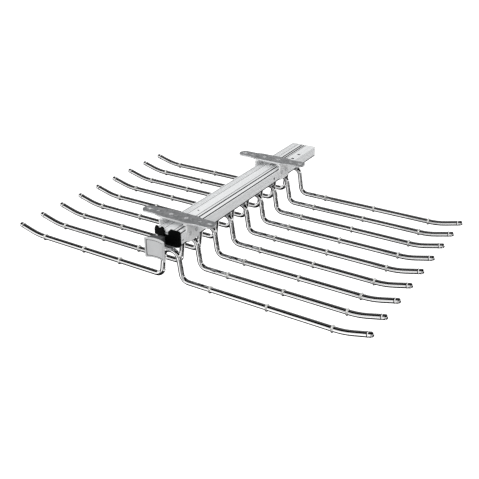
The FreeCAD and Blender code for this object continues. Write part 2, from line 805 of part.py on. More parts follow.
def make_bar_carrier():
    """The flat bar under the carriage, with a half-round seat for each trouser bar."""
    body = new_body("bar_carrier")
    profile = new_sketch(body, "carrier_profile", "XZ_Plane")
    rectangle(profile, -s.carrier_width / 2, s.carrier_width / 2, carrier_under, carriage_under)
    pad(body, profile, carrier_length, reverse=True)
    round_edges(body, s.carrier_end_radius, lambda a, b: near(a.x, b.x) and near(a.y, b.y))
    seat = new_sketch(body, "carrier_seat", "YZ_Plane")
    circle(seat, s.carrier_end, arch_z, s.bar_diameter + s.push_fit * 2)
    repeat(body, [cut(body, seat, both_ways=True)], "Y_Axis", s.bar_count, s.bar_pitch)
    holes = new_sketch(body, "carrier_holes", "XY_Plane")
    for y in carrier_screw_places() + [handle_screw_y]:
        circle(holes, ZERO, y - carrier_front, s.carrier_screw_diameter + s.push_fit * 2)
    cut(body, holes)
    return keep(body, "bar_carrier", y=carrier_front)


def make_carrier_screws():
    """Pan-head screws that hold the bar carrier to the carriage."""
    body = new_body("carrier_screws", groups=True)
    shanks = new_sketch(body, "carrier_screw_shanks", "XY_Plane", carrier_under)
    heads = new_sketch(body, "carrier_screw_heads", "XY_Plane", carrier_under)
    for y in carrier_screw_places():
        circle(shanks, ZERO, y, s.carrier_screw_diameter)
        circle(heads, ZERO, y, s.carrier_screw_head_diameter)
    pad(body, shanks, s.carrier_thickness + s.carriage_wall + s.carrier_screw_tail)
    pad(body, heads, s.carrier_screw_head_height, reverse=True)
    shape_screw_heads(body, carrier_screw_places())
    return keep(body, "carrier_screws")


def shape_screw_heads(body, places):
    """Round the rims of pan heads under the carrier and sink a cross drive into each."""
    crown = carrier_under - s.carrier_screw_head_height
    crown_z = crown.value
    round_rims(body, s.carrier_screw_head_round, lambda centre: near(centre.z, crown_z))
    drives = new_sketch(body, body.Label + "_drives", "XY_Plane", crown)
    arm, half = s.screw_drive_length / 2, s.screw_drive_width / 2
    quarter = [(arm, -half), (arm, half), (half, half)]
    for y in places:
        points = []
        for turn in range(4):
            points += [(across, along + y) for across, along in quarter]
            quarter = [(-along, across) for across, along in quarter]
        outline(drives, points)
    cut(body, drives, s.screw_drive_depth, reverse=True)


def make_trouser_bar(number, y):
    """One bent tube: half of its line is drawn, swept and mirrored."""
    body = new_body(f"trouser_bar_{number}")
    line_sketch = new_sketch(body, f"bar_{number}_line", "XZ_Plane")
    draw_bar_line(line_sketch)
    section = new_sketch(body, f"bar_{number}_section", "YZ_Plane")
    circle(section, ZERO, arch_z, s.bar_diameter)
    circle(section, ZERO, arch_z, s.bar_diameter - s.bar_wall * 2)
    sweep = body.newObject("PartDesign::AdditivePipe", f"bar_{number}_sweep")
    sweep.Profile = section
    sweep.Spine = (line_sketch, [])
    mirror(body, [sweep])
    return keep(body, f"trouser_bar_{number}", y=y)


def draw_bar_line(sketch):
    """The tube's right half: arch, leaning leg, foot bend, arm, tip bend and raised tip."""
    lean, rise = math.radians(s.leg_lean.value), math.radians(s.tip_angle.value)
    top, low = arch_z.value, arm_z.value
    flat = s.arch_flat.value / 2
    arch_r, foot_r, tip_r = s.arch_bend_radius.value, s.foot_bend_radius.value, s.tip_bend_radius.value
    leg_top = (flat + arch_r * math.cos(lean), top - arch_r * (1 - math.sin(lean)))
    leg_low_z = low + foot_r * (1 - math.sin(lean))
    leg_low = (leg_top[0] + (leg_top[1] - leg_low_z) * math.tan(lean), leg_low_z)
    arm_start = leg_low[0] + foot_r * math.cos(lean)
    bend_start = tip_bend_start.value
    bend_end = (bend_start + tip_r * math.sin(rise), low + tip_r * (1 - math.cos(rise)))

    flat_line = line(sketch, (0, top), (flat, top))
    arch_bend = arc(sketch, flat, top - arch_r, s.arch_bend_radius, lean, math.pi / 2)
    leg = line(sketch, leg_top, leg_low)
    foot_bend = arc(sketch, arm_start, low + foot_r, s.foot_bend_radius, math.pi + lean, math.pi * 1.5)
    arm = line(sketch, (arm_start, low), (bend_start, low))
    tip_bend = arc(sketch, bend_start, low + tip_r, s.tip_bend_radius, -math.pi / 2, rise - math.pi / 2)
    tip = line(sketch, bend_end, (bar_end_x.value, bar_end_z.value))

    join(sketch, "Tangent", flat_line, 2, arch_bend, 2)
    join(sketch, "Tangent", arch_bend, 1, leg, 1)
    join(sketch, "Tangent", leg, 2, foot_bend, 1)
    join(sketch, "Tangent", foot_bend, 2, arm, 1)
    join(sketch, "Tangent", arm, 2, tip_bend, 1)
    join(sketch, "Tangent", tip_bend, 2, tip, 1)
    sketch.addConstraint(Sketcher.Constraint("Horizontal", flat_line))
    sketch.addConstraint(Sketcher.Constraint("Horizontal", arm))
    pin(sketch, flat_line, 1, ZERO, arch_z)
    pin(sketch, flat_line, 2, s.arch_flat / 2)
    pin(sketch, arm, 2, tip_bend_start, arm_z)
    limit(sketch, "Angle", (leg,), s.leg_lean - RIGHT_ANGLE)
    limit(sketch, "Angle", (tip,), s.tip_angle)
    pin(sketch, tip, 2, bar_end_x)


def make_grip_rings(number, y):
    """The soft rings pushed along one bar, each half-round outside."""
    body = new_body(f"grip_rings_{number}", groups=True)
    profile = new_sketch(body, f"ring_{number}_profile", "XZ_Plane")
    bind(profile, "AttachmentOffset.Base.y", arm_z)
    bore = bar_radius + s.push_fit
    half = s.ring_width / 2
    places = [s.right_ring_inner, s.right_ring_middle, outer_ring_x,
              -s.left_ring_inner, -s.left_ring_middle, -outer_ring_x]
    for x in places:
        base = line(profile, ((x - half).value, bore.value), ((x + half).value, bore.value))
        crown = arc(profile, x.value, bore.value, half, 0, math.pi)
        pin(profile, crown, 3, x, bore)
        join(profile, "Coincident", base, 2, crown, 1)
        join(profile, "Coincident", base, 1, crown, 2)
        profile.addConstraint(Sketcher.Constraint("Horizontal", base))
    turned = body.newObject("PartDesign::Revolution", f"ring_{number}_turned")
    turned.Profile = profile
    turned.ReferenceAxis = (profile, ["H_Axis"])
    return keep(body, f"grip_rings_{number}", y=y)


def make_tip_caps(number, y):
    """The rounded plugs in the two ends of one bar, each with a thin collar at the joint."""
    body = new_body(f"right_tip_cap_{number}")
    profile = new_sketch(body, f"tip_{number}_profile", "XZ_Plane")
    bind(profile, "AttachmentOffset.Base.x", bar_end_x)
    bind(profile, "AttachmentOffset.Base.y", bar_end_z)
    bind(profile, "AttachmentOffset.Rotation.Angle", s.tip_angle)
    stem = bar_radius - s.bar_wall - s.push_fit
    collar = bar_radius + s.cap_collar_height
    collar_end = s.push_fit + s.cap_collar_width
    outline(profile, [
        (-s.cap_stem, ZERO), (s.cap_length, ZERO), (s.cap_length, bar_radius), (collar_end, bar_radius),
        (collar_end, collar), (s.push_fit, collar), (s.push_fit, stem), (-s.cap_stem, stem),
    ])
    turned = body.newObject("PartDesign::Revolution", f"tip_{number}_turned")
    turned.Profile = profile
    turned.ReferenceAxis = (profile, ["H_Axis"])
    doc.recompute()
    nose_edge = max(
        (edge.CenterOfMass.x, f"Edge{count}") for count, edge in enumerate(turned.Shape.Edges, 1)
        if len(edge.Vertexes) == 1
    )[1]
    nose = body.newObject("PartDesign::Fillet", f"tip_{number}_nose")
    nose.Base = (turned, [nose_edge])
    bind(nose, "Radius", bar_radius - s.cap_flat)
    bind(body, "Placement.Base.y", y)
    left = doc.addObject("Part::Mirroring", f"left_tip_cap_{number}")
    left.Source = body
    left.Normal = Vector(1, 0, 0)
    pair = doc.addObject("Part::Compound", f"tip_caps_{number}")
    pair.Links = [body, left]
    return keep(pair, f"tip_caps_{number}")


def make_left_end_cap():
    """The small black cap at the carriage's front left, with two bumps on its top edge."""
    body = new_body("left_end_cap")
    left, right = -rail_half, s.left_cap_width - rail_half
    low, high = rail_top - s.left_cap_height, rail_top + s.left_cap_bump
    notch_left = (left + right) / 2 - s.left_cap_notch / 2
    notch_right = notch_left + s.left_cap_notch
    slope, dip = s.left_cap_slope, rail_top + s.left_cap_dip
    face = new_sketch(body, "left_cap_face", "XZ_Plane")
    outline(face, [
        (left, low), (right, low), (right, rail_top), (right - slope, high), (notch_right + slope, high),
        (notch_right, dip), (notch_left, dip), (notch_left - slope, high), (left + slope, high),
        (left, rail_top),
    ])
    pad(body, face, s.cap_thickness)
    front = -s.cap_thickness.value
    round_edges(body, s.cap_edge_radius, lambda a, b: near(a.y, front) and near(b.y, front))
    pin_face = new_sketch(body, "left_cap_pin", "XZ_Plane")
    circle(pin_face, -port_x, port_z, s.left_cap_pin_diameter)
    pad(body, pin_face, s.left_cap_pin_length, reverse=True)
    return keep(body, "left_end_cap", y=carriage_front)


def make_right_end_cap():
    """The large black cap at the carriage's front right, with a stepped left corner and a plug behind."""
    body = new_body("right_end_cap")
    left, right = -s.right_cap_gap, s.right_cap_width - s.right_cap_gap
    high = rail_top + s.right_cap_rise
    low = high - s.right_cap_height
    corner, shoulder = s.right_cap_chamfer, s.right_cap_shoulder
    step, ledge = left + s.right_cap_step, high - s.right_cap_step_height
    face = new_sketch(body, "right_cap_face", "XZ_Plane")
    outline(face, [
        (left, low), (right - corner, low), (right, low + corner), (right, high - shoulder),
        (right - shoulder, high), (step + corner, high), (step, high - corner), (step, ledge),
        (left, ledge - shoulder),
    ])
    pad(body, face, s.cap_thickness)
    front = -s.cap_thickness.value
    round_edges(body, s.cap_edge_radius, lambda a, b: near(a.y, front) and near(b.y, front))
    plug = new_sketch(body, "right_cap_plug_outline", "XZ_Plane")
    floor = hollow_under + s.handle_plug_height + s.cap_play * 2
    rectangle(plug, left, hollow_half - s.cap_play, floor, hollow_top - s.cap_play)
    pad(body, plug, s.right_cap_plug, reverse=True)
    return keep(body, "right_end_cap", y=carriage_front)


def curved_face(sketch, half, front_radius, back_radius, centre):
    """Draw the plan of a curved strip: two arcs about one centre, closed by straight ends."""
    arcs = []
    for radius in (front_radius, back_radius):
        turn = math.acos(half.value / radius.value)
        index = arc(sketch, 0, centre.value, radius, turn, math.pi - turn)
        pin(sketch, index, 3, ZERO, centre)
        arcs.append((index, centre.value + radius.value * math.sin(turn)))
    (front, front_y), (back, back_y) = arcs
    for side, point in ((1, 1), (-1, 2)):
        edge = half * side
        end = line(sketch, (edge.value, front_y), (edge.value, back_y))
        join(sketch, "Coincident", end, 1, front, point)
        join(sketch, "Coincident", end, 2, back, point)
        pin(sketch, front, point, edge)
        pin(sketch, back, point, edge)


def handle_curve_centre():
    """Depth of the axis that the handle plate curves about, in front of the carriage."""
    half, radius = s.handle_width / 2, s.handle_curve_radius
    depth = Size(
        math.sqrt(radius.value ** 2 - half.value ** 2), f"sqrt({radius.text} ^ 2 - {half.text} ^ 2)")
    return -s.handle_reach - depth


def make_handle_plate():
    """The curved pull plate: a narrow rim, a fine line inside it and a face set in a little."""
    body = new_body("handle_plate")
    half, radius, centre = s.handle_width / 2, s.handle_curve_radius, handle_curve_centre()
    plan = new_sketch(body, "handle_plate_plan", "XY_Plane", -s.handle_under)
    curved_face(plan, half, radius, radius + s.handle_plate_thickness, centre)
    pad(body, plan, s.handle_height)
    recess_top = s.handle_height - s.handle_under - s.handle_rim
    recess = new_sketch(body, "handle_plate_recess", "XY_Plane", recess_top)
    clear = radius - s.handle_plate_thickness
    curved_face(recess, half - s.handle_rim, clear, radius + s.handle_line_depth, centre)
    cut(body, recess, s.handle_height - s.handle_rim * 2)
    inset = s.handle_rim + s.handle_line_width
    inlay = new_sketch(body, "handle_plate_inlay", "XY_Plane", inset - s.handle_under)
    root = radius + (s.handle_line_depth + s.handle_plate_thickness) / 2
    curved_face(inlay, half - inset, radius + s.handle_recess, root, centre)
    pad(body, inlay, s.handle_height - inset * 2)
    side, front = half.value, -s.handle_reach.value
    round_edges(body, s.handle_edge_radius, lambda a, b: (
        near(abs(a.x), side) and near(abs(b.x), side) and near(a.y, front) and near(b.y, front)))
    return keep(body, "handle_plate", y=carriage_front)


def make_handle_body():
    """The dark moulding behind the plate, with a neck to the carriage and a plug inside it."""
    body = new_body("handle_body")
    left, right = s.handle_body_left, s.handle_body_right
    radius = s.handle_curve_radius + s.handle_plate_thickness + s.push_fit
    centre = handle_curve_centre()
    back = -s.handle_body_depth
    plan = new_sketch(body, "handle_body_plan", "XY_Plane", s.handle_body_margin - s.handle_under)
    right_turn, left_turn = math.acos(right.value / radius.value), math.acos(-left.value / radius.value)
    front = arc(plan, 0, centre.value, radius, right_turn, left_turn)
    right_y, left_y = (centre.value + radius.value * math.sin(turn) for turn in (right_turn, left_turn))
    right_line = line(plan, (right.value, right_y), (right.value, back.value))
    back_line = line(plan, (right.value, back.value), (-left.value, back.value))
    left_line = line(plan, (-left.value, back.value), (-left.value, left_y))
    pin(plan, front, 3, ZERO, centre)
    join(plan, "Coincident", front, 1, right_line, 1)
    join(plan, "Coincident", right_line, 2, back_line, 1)
    join(plan, "Coincident", back_line, 2, left_line, 1)
    join(plan, "Coincident", left_line, 2, front, 2)
    plan.addConstraint(Sketcher.Constraint("Vertical", right_line))
    plan.addConstraint(Sketcher.Constraint("Vertical", left_line))
    pin(plan, back_line, 1, right, back)
    pin(plan, back_line, 2, -left, back)
    pad(body, plan, s.handle_height - s.handle_body_margin * 2)
    back_y = back.value
    round_edges(body, s.handle_body_radius, lambda a, b: (
        near(a.y, back_y) and near(b.y, back_y) and near(a.x, b.x)))

    neck = new_sketch(body, "handle_neck", "XZ_Plane")
    neck_right = -s.right_cap_gap - s.right_cap_gap / 4
    neck_left, neck_top = neck_right - s.handle_neck_width, hollow_under + s.handle_neck_height
    rectangle(neck, neck_left, neck_right, hollow_under, neck_top)
    pad(body, neck, s.handle_body_depth + s.handle_neck_overlap)

    plug = new_sketch(body, "handle_plug", "XZ_Plane")
    reach = hollow_half - s.cap_play
    rectangle(plug, -reach, reach, hollow_under + s.cap_play, hollow_under + s.handle_plug_height)
    pad(body, plug, s.handle_plug_length, reverse=True)

    thread = new_sketch(body, "handle_thread", "XY_Plane", hollow_under + s.cap_play)
    circle(thread, ZERO, s.handle_screw_setback, s.carrier_screw_diameter + s.push_fit * 2)
    cut(body, thread, s.handle_screw_grip + s.push_fit, reverse=True)
    return keep(body, "handle_body", y=carriage_front)


def make_handle_screw():
    """The screw that holds the handle's plug, through the carrier and the carriage floor."""
    body = new_body("handle_screw")
    shank = new_sketch(body, "handle_screw_shank", "XY_Plane", carrier_under)
    circle(shank, ZERO, ZERO, s.carrier_screw_diameter)
    pad(body, shank, s.carrier_thickness + s.carriage_wall + s.handle_screw_grip)
    head = new_sketch(body, "handle_screw_head", "XY_Plane", carrier_under)
    circle(head, ZERO, ZERO, s.carrier_screw_head_diameter)
    pad(body, head, s.carrier_screw_head_height, reverse=True)
    shape_screw_heads(body, [ZERO])
    return keep(body, "handle_screw", y=handle_screw_y)


def check_model():
    """Stop before anything is written if an object failed, is not valid or cut nothing."""
    for item in doc.Objects:
        if "Invalid" in item.State or "Error" in item.State:
            raise RuntimeError(f"{item.Label} failed: {item.State}")
    for base, feature in cuts:
        if feature.Shape.Volume > base.Shape.Volume - 0.01:
            raise RuntimeError(f"{feature.Label} cuts nothing")
    for node in nodes:
        if node.Shape.isNull() or not node.Shape.isValid() or not node.Shape.Solids:
            raise RuntimeError(f"{node.Label} has no valid solid")


make_fixed_rail()
make_rear_end_cap()
for bracket_end, bracket_name in ENDS:
    make_bracket_plate(bracket_end, bracket_name)
    make_saddle(bracket_end, bracket_name)
make_plate_rivets()
make_saddle_rivets()
make_rail_stop_screws()
for row_side, row_name in SIDES:
    make_ball_cage(row_side, row_name)
    make_balls(row_side, row_name)
make_carriage()
make_carriage_stop_pins()
make_bar_carrier()
make_carrier_screws()
for bar_number in range(1, BAR_COUNT + 1):
    bar_y = first_bar_y + s.bar_pitch * (bar_number - 1)
    make_trouser_bar(bar_number, bar_y)
    make_grip_rings(bar_number, bar_y)
    make_tip_caps(bar_number, bar_y)
make_left_end_cap()
make_right_end_cap()
make_handle_plate()
make_handle_body()
make_handle_screw()

doc.recompute()
check_model()
os.makedirs("parts", exist_ok=True)
for node in nodes:
    node.Shape.exportStep(os.path.join("parts", node.Label + ".step"))
    print(node.Label, len(node.Shape.Solids), round(node.Shape.Volume, 1))
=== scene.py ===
"""Pull-out trouser rack in a plain studio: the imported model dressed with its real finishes.

A fixed aluminium rail hangs from two zinc-plated brackets.  A carriage rolls out of it on caged
balls and carries nine chromed tubes, each bent to an arch with an arm on either side.
"""

import logging
import math
from dataclasses import dataclass
from enum import Enum
from typing import Any

import bpy
from mathutils import Matrix, Vector

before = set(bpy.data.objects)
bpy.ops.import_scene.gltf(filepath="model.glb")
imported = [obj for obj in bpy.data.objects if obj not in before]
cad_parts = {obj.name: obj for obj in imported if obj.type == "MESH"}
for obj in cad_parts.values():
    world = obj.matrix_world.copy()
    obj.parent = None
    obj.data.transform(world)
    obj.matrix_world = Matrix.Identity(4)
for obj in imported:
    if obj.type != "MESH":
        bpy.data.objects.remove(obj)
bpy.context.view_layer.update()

log = logging.getLogger("trouser_rack")
MM = 0.001
BAR_NUMBERS = range(1, 10)
PURE_WHITE = "ffffff"


def linear(hex_colour: str) -> tuple[float, float, float, float]:
    """Turn an sRGB hex colour into the linear colour that the shaders use.

    Args:
        hex_colour: six hex digits, as in "c8c9cb".

    Returns:
        Linear red, green, blue and an alpha of 1.
    """
    channels = [int(hex_colour[i:i + 2], 16) / 255 for i in (0, 2, 4)]
    red, green, blue = (
        c / 12.92 if c <= 0.04045 else ((c + 0.055) / 1.055) ** 2.4 for c in channels)
    return red, green, blue, 1.0


def add_node(tree: bpy.types.NodeTree, kind: str, inputs: dict[Any, Any] | None = None,
             **settings: Any) -> bpy.types.Node:
    """Add a node with its settings, socket values and links.

    Args:
        tree: the node tree to add to.
        kind: the node's type name.
        inputs: socket name or number to a value, or to an output socket to link from.
        settings: properties of the node itself.

    Returns:
        The new node.
    """
    node = tree.nodes.new(kind)
    for name, value in settings.items():
        setattr(node, name, value)
    for key, value in (inputs or {}).items():
        if isinstance(value, bpy.types.NodeSocket):
            tree.links.new(value, node.inputs[key])
        else:
            node.inputs[key].default_value = value
    return node


def bare_material(name: str) -> bpy.types.Material:
    """Make a material whose node tree is still empty.

    Args:
        name: the real material and how its surface was made.

    Returns:
        The new material.
    """
    material = bpy.data.materials.new(name)
    material.use_nodes = True
    material.node_tree.nodes.clear()
    return material


def waves_per_metre(size_mm: float) -> float:
    """Give the pattern scale whose features are about this many millimetres across."""
    return 1000.0 / size_mm


@dataclass(frozen=True)
class Finish:
    """A surface finish that becomes one Blender material."""

    name: str

    def build(self) -> bpy.types.Material:
        """Make the material and hand its node tree to the finish.

        Returns:
            The finished material.
        """
        material = bare_material(self.name)
        tree = material.node_tree
        shader = self.shade(tree)
        add_node(tree, "ShaderNodeOutputMaterial", {"Surface": shader.outputs[0]})
        return material

    def shade(self, tree: bpy.types.NodeTree) -> bpy.types.Node:
        """Build the shader; each kind of finish has its own.

        Args:
            tree: the material's empty node tree.

        Returns:
            The node whose first output is the surface.
        """
        raise NotImplementedError


@dataclass(frozen=True)
class PolishedChrome(Finish):
    """Chrome plate over a polished tube: a clear mirror with a faint haze from handling."""

    colour: str = "f0f0f0"
    roughness: tuple[float, float] = (0.035, 0.085)
    haze_mm: float = 14.0
    ripple_mm: float = 5.0
    haze_range: tuple[float, float] = (0.35, 0.7)
    ripple_strength: float = 0.02
    ripple_depth_mm: float = 0.05

    def shade(self, tree: bpy.types.NodeTree) -> bpy.types.Node:
        """Mirror metal whose gloss drifts softly along the tube.

        Args:
            tree: the material's empty node tree.

        Returns:
            The principled shader.
        """
        place = add_node(tree, "ShaderNodeTexCoord")
        haze = add_node(tree, "ShaderNodeTexNoise", {
            "Vector": place.outputs["Object"], "Scale": waves_per_metre(self.haze_mm),
            "Detail": 3.0})
        gloss = add_node(tree, "ShaderNodeMapRange", {
            "Value": haze.outputs["Fac"],
            "From Min": self.haze_range[0], "From Max": self.haze_range[1],
            "To Min": self.roughness[0], "To Max": self.roughness[1]})
        ripple = add_node(tree, "ShaderNodeTexNoise", {
            "Vector": place.outputs["Object"], "Scale": waves_per_metre(self.ripple_mm),
            "Detail": 1.0})
        bump = add_node(tree, "ShaderNodeBump", {
            "Height": ripple.outputs["Fac"], "Strength": self.ripple_strength,
            "Distance": self.ripple_depth_mm * MM})
        return add_node(tree, "ShaderNodeBsdfPrincipled", {
            "Base Color": linear(self.colour), "Metallic": 1.0,
            "Roughness": gloss.outputs["Result"], "Normal": bump.outputs["Normal"]})


@dataclass(frozen=True)
class CappedChrome(PolishedChrome):
    """Chrome plate on a tip plug: a mirror dome behind a seam painted dark as shade and a ring
    painted white as a highlight.
    """

    roughness: tuple[float, float] = (0.04, 0.1)
    tilt_deg: float = 14.5
    seam_mm: float = 266.8
    seam_width_mm: float = 1.3
    ring_width_mm: float = 1.1
    # The seam colour is painted shade for the gap at the tube; the ring colour is a painted highlight
    # on the collar.
    seam_shade_colour: str = "0c0c0c"
    ring_highlight_colour: str = "f6f6f6"

    def shade(self, tree: bpy.types.NodeTree) -> bpy.types.Node:
        """Lay the painted shade of the seam and the painted highlight of the ring over the mirror, by
        the distance along the tilted tip.

        Args:
            tree: the material's empty node tree.

        Returns:
            The principled shader.
        """
        shader = super().shade(tree)
        place = add_node(tree, "ShaderNodeTexCoord")
        folded = add_node(tree, "ShaderNodeVectorMath", {
            0: place.outputs["Object"]}, operation="ABSOLUTE")
        height = add_node(tree, "ShaderNodeSeparateXYZ", {"Vector": place.outputs["Object"]})
        reach = add_node(tree, "ShaderNodeSeparateXYZ", {"Vector": folded.outputs[0]})
        tilt = math.radians(self.tilt_deg)
        outward = add_node(tree, "ShaderNodeMath", {
            0: reach.outputs["X"], 1: math.cos(tilt)}, operation="MULTIPLY")
        along = add_node(tree, "ShaderNodeMath", {
            0: height.outputs["Z"], 1: math.sin(tilt), 2: outward.outputs[0]},
            operation="MULTIPLY_ADD")
        seam_end = self.seam_mm + self.seam_width_mm
        ring_end = seam_end + self.ring_width_mm
        on_seam = add_node(tree, "ShaderNodeMath", {
            0: along.outputs[0], 1: seam_end * MM}, operation="LESS_THAN")
        on_ring = add_node(tree, "ShaderNodeMath", {
            0: along.outputs[0], 1: ring_end * MM}, operation="LESS_THAN")
        # Painted highlight on the ring, painted shade on the seam.
        ringed = add_node(tree, "ShaderNodeMix", {
            "Factor": on_ring.outputs[0],
            "A": linear(self.colour), "B": linear(self.ring_highlight_colour)}, data_type="RGBA")
        seamed = add_node(tree, "ShaderNodeMix", {
            "Factor": on_seam.outputs[0],
            "A": ringed.outputs["Result"], "B": linear(self.seam_shade_colour)}, data_type="RGBA")
        bare = add_node(tree, "ShaderNodeMath", {
            0: 1.0, 1: on_ring.outputs[0]}, operation="SUBTRACT")
        tree.links.new(seamed.outputs["Result"], shader.inputs["Base Color"])
        tree.links.new(bare.outputs[0], shader.inputs["Metallic"])
        return shader


@dataclass(frozen=True)
class AnodisedAluminium(Finish):
    """Extruded and clear-anodised aluminium: pale satin metal with die lines along its length."""

    colour: str = "fafbfc"
    line_colour: str = "eceeef"
    # Real die lines are about 0.1 mm apart, too fine for the render, so they are ten times as coarse.
    line_mm: float = 1.1
    line_length_mm: float = 160.0
    line_strength: float = 0.12
    line_depth_mm: float = 0.05
    tone_range: tuple[float, float] = (0.38, 0.66)
    gloss_range: tuple[float, float] = (0.3, 0.7)
    metallic: float = 0.1
    roughness: tuple[float, float] = (0.48, 0.60)
    # Painted shade for the grooves, the inside of the channel and the foot.
    groove_shade_colour: str = "0a0a0b"
    groove_fade_mm: tuple[float, float] = (0.1, 0.6)
    shallow_left_of_mm: float = -1000.0
    shallow_edge_mm: float = 0.1
    shallow_shade_share: float = 0.75
    faint_centre_mm: float = -14.85
    faint_half_mm: float = 3.2
    faint_shade_share: float = 0.3
    groove_within_mm: float = 0.0
    groove_below_mm: float = 0.0
    groove_behind_mm: float = 0.0
    foot_shade_below_mm: float = -1000.0

    def groove_shade_share(self, tree: bpy.types.NodeTree, place: bpy.types.Node) -> bpy.types.NodeSocket:
        """Tell where painted shade goes: how deep in a groove, inside the profile or down at its foot
        a point lies.

        Args:
            tree: the material's node tree.
            place: the texture coordinate node.

        Returns:
            A socket that runs from 0 on the outer faces to 1 where the grooves get their full painted
            shade.
        """
        axes = add_node(tree, "ShaderNodeSeparateXYZ", {"Vector": place.outputs["Object"]})
        across = add_node(tree, "ShaderNodeMath", {0: axes.outputs["X"]}, operation="ABSOLUTE")
        inside = add_node(tree, "ShaderNodeMath", {
            0: across.outputs[0], 1: self.groove_within_mm * MM}, operation="LESS_THAN")
        foot = add_node(tree, "ShaderNodeMath", {
            0: axes.outputs["Z"], 1: self.foot_shade_below_mm * MM}, operation="LESS_THAN")
        behind = add_node(tree, "ShaderNodeMath", {
            0: axes.outputs["Y"], 1: self.groove_behind_mm * MM}, operation="GREATER_THAN")
        depth = add_node(tree, "ShaderNodeMapRange", {
            "Value": axes.outputs["Z"],
            "From Min": (self.groove_below_mm - self.groove_fade_mm[0]) * MM,
            "From Max": (self.groove_below_mm - self.groove_fade_mm[1]) * MM})
        shallow = add_node(tree, "ShaderNodeMapRange", {
            "Value": axes.outputs["X"],
            "From Min": (self.shallow_left_of_mm - self.shallow_edge_mm) * MM,
            "From Max": self.shallow_left_of_mm * MM, "To Min": self.shallow_shade_share})
        both = add_node(tree, "ShaderNodeMath", {
            0: inside.outputs[0], 1: behind.outputs[0]}, operation="MULTIPLY")
        deep = add_node(tree, "ShaderNodeMath", {
            0: both.outputs[0], 1: depth.outputs[0]}, operation="MULTIPLY")
        inner = add_node(tree, "ShaderNodeMath", {
            0: axes.outputs["X"], 1: self.faint_centre_mm * MM, 2: self.faint_half_mm * MM},
            operation="COMPARE")
        faint = add_node(tree, "ShaderNodeMapRange", {
            "Value": inner.outputs[0], "To Min": 1.0, "To Max": self.faint_shade_share})
        fine = add_node(tree, "ShaderNodeMath", {
            0: shallow.outputs["Result"], 1: faint.outputs["Result"]}, operation="MULTIPLY")
        grooves = add_node(tree, "ShaderNodeMath", {
            0: deep.outputs[0], 1: fine.outputs[0]}, operation="MULTIPLY")
        share = add_node(tree, "ShaderNodeMath", {
            0: grooves.outputs[0], 1: foot.outputs[0]}, operation="MAXIMUM")
        return share.outputs[0]

    def shade(self, tree: bpy.types.NodeTree) -> bpy.types.Node:
        """Satin metal streaked along Y, the way the extrusion left the die.

        Args:
            tree: the material's empty node tree.

        Returns:
            The principled shader.
        """
        place = add_node(tree, "ShaderNodeTexCoord")
        across, along = waves_per_metre(self.line_mm), waves_per_metre(self.line_length_mm)
        stretch = add_node(tree, "ShaderNodeMapping", {
            "Vector": place.outputs["Object"], "Scale": (across, along, across)})
        lines = add_node(tree, "ShaderNodeTexNoise", {
            "Vector": stretch.outputs["Vector"], "Scale": 1.0, "Detail": 2.0, "Roughness": 0.6})
        tone = add_node(tree, "ShaderNodeMapRange", {
            "Value": lines.outputs["Fac"],
            "From Min": self.tone_range[0], "From Max": self.tone_range[1]})
        metal = add_node(tree, "ShaderNodeMix", {
            "Factor": tone.outputs["Result"],
            "A": linear(self.colour), "B": linear(self.line_colour)}, data_type="RGBA")
        # Painted shade: near black in the grooves, inside the channel and along the foot.
        colour = add_node(tree, "ShaderNodeMix", {
            "Factor": self.groove_shade_share(tree, place),
            "A": metal.outputs["Result"], "B": linear(self.groove_shade_colour)}, data_type="RGBA")
        gloss = add_node(tree, "ShaderNodeMapRange", {
            "Value": lines.outputs["Fac"],
            "From Min": self.gloss_range[0], "From Max": self.gloss_range[1],
            "To Min": self.roughness[0], "To Max": self.roughness[1]})
        bump = add_node(tree, "ShaderNodeBump", {
            "Height": lines.outputs["Fac"], "Strength": self.line_strength,
            "Distance": self.line_depth_mm * MM})
        return add_node(tree, "ShaderNodeBsdfPrincipled", {
            "Base Color": colour.outputs["Result"], "Metallic": self.metallic,
            "Roughness": gloss.outputs["Result"], "Normal": bump.outputs["Normal"]})


